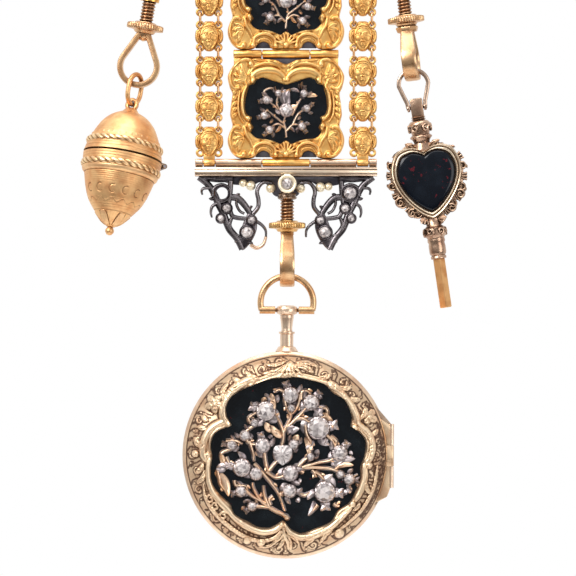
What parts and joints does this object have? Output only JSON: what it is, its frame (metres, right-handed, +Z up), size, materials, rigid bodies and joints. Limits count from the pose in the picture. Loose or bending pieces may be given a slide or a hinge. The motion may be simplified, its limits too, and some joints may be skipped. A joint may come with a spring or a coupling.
{
  "type": "chatelaine",
  "caption": "Waist ornament: hook plate, hinged plaques and mask links on a cross bar, with screw hooks carrying a watch, an egg-shaped case and a watch key.",
  "frame": {"origin": "inner top of the belt hook's bend, where it hangs on the belt's upper edge", "axes": "+Z up along the hanging chatelaine, -Y the decorated front, +X to the right seen from the front"},
  "size_m": [0.0964, 0.0214, 0.1844],
  "materials": {
    "gold": "chased yellow gold",
    "rose_gold": "polished rose gold",
    "pale_gold": "pale gold, chased",
    "key_gold": "worn pinkish gold",
    "silver": "cut silver",
    "dark_silver": "oxidised silver",
    "diamond": "rose cut",
    "bloodstone": "polished",
    "enamel": "glossy enamel",
    "blue_steel": "blued",
    "crystal": "clear"
  },
  "bodies": {
    "root": {"hook_plate": "gold", "belt_hook": "gold", "band_pins": "rose_gold", "upper_frame": "gold", "upper_panel": "bloodstone", "upper_spray": "silver", "upper_stones": "diamond", "lower_frame": "gold", "lower_panel": "bloodstone", "lower_spray": "silver", "lower_stones": "diamond", "left_mask_1": "gold", "left_mask_2": "gold", "left_mask_3": "gold", "left_mask_4": "gold", "left_mask_5": "gold", "left_mask_6": "gold", "right_mask_1": "gold", "right_mask_2": "gold", "right_mask_3": "gold", "right_mask_4": "gold", "right_mask_5": "gold", "right_mask_6": "gold", "left_loops": "rose_gold", "right_loops": "rose_gold", "cross_bar": "pale_gold", "left_bracket": "dark_silver", "right_bracket": "dark_silver", "left_bracket_stones": "diamond", "right_bracket_stones": "diamond", "bar_beads": "pale_gold", "centre_collet": "pale_gold", "centre_stone": "diamond", "egg_chain": "gold", "key_chain": "gold"},
    "watch_hook": {"watch_hook": "rose_gold", "watch_bow": "rose_gold"},
    "watch_nut": {"watch_nut": "gold"},
    "watch": {"watch_case": "pale_gold", "watch_dial": "enamel", "watch_hands": "blue_steel", "watch_crystal": "crystal", "case_pin": "rose_gold"},
    "cover": {"watch_cover": "pale_gold", "watch_panel": "bloodstone", "watch_spray": "silver", "watch_stones": "diamond"},
    "egg_hook": {"egg_hook": "rose_gold", "egg_ring": "rose_gold", "egg_lid": "rose_gold", "egg_pin": "rose_gold"},
    "egg_nut": {"egg_nut": "gold"},
    "egg_cup": {"egg_cup": "rose_gold"},
    "key_hook": {"key_hook": "rose_gold", "key_bail": "key_gold"},
    "key_nut": {"key_nut": "gold"},
    "key": {"watch_key": "key_gold", "key_stone": "bloodstone"}
  },
  "joints": [
    {"name": "watch_swivel", "type": "hinge", "parent": "root", "child": "watch_hook", "pos_m": [0.0003, -0.00445, -0.1002], "axis": [0, 0, 1], "continuous": true},
    {"name": "watch_nut_slide", "type": "slide", "parent": "watch_hook", "child": "watch_nut", "axis": [0, 0, 1], "range_m": [0, 0.0045]},
    {"name": "watch_swing", "type": "hinge", "parent": "watch_hook", "child": "watch", "pos_m": [0.00024, -0.00445, -0.12135], "axis": [1, 0, -0.007], "range_deg": [-80, 80]},
    {"name": "case_hinge", "type": "hinge", "parent": "watch", "child": "cover", "pos_m": [0.02619, -0.00745, -0.15763], "axis": [0.007, 0, 1], "range_deg": [0, 110]},
    {"name": "egg_swivel", "type": "hinge", "parent": "root", "child": "egg_hook", "pos_m": [-0.0352, -0.00445, -0.0506], "axis": [0.1668, 0, 0.986], "continuous": true},
    {"name": "egg_nut_slide", "type": "slide", "parent": "egg_hook", "child": "egg_nut", "axis": [0.1668, 0, 0.986], "range_m": [0, 0.0045]},
    {"name": "egg_cup_hinge", "type": "hinge", "parent": "egg_hook", "child": "egg_cup", "pos_m": [-0.03102, -0.00326, -0.08562], "axis": [0.3644, -0.9254, 0.1039], "range_deg": [0, 50]},
    {"name": "key_swivel", "type": "hinge", "parent": "root", "child": "key_hook", "pos_m": [0.03, -0.00445, -0.0488], "axis": [-0.1149, 0, 0.9934], "continuous": true},
    {"name": "key_nut_slide", "type": "slide", "parent": "key_hook", "child": "key_nut", "axis": [-0.1149, 0, 0.9934], "range_m": [0, 0.0045]},
    {"name": "key_swing", "type": "hinge", "parent": "key_hook", "child": "key", "pos_m": [0.03271, -0.00445, -0.07072], "axis": [0.9895, 0, 0.1444], "range_deg": [-80, 80]}
  ]
}
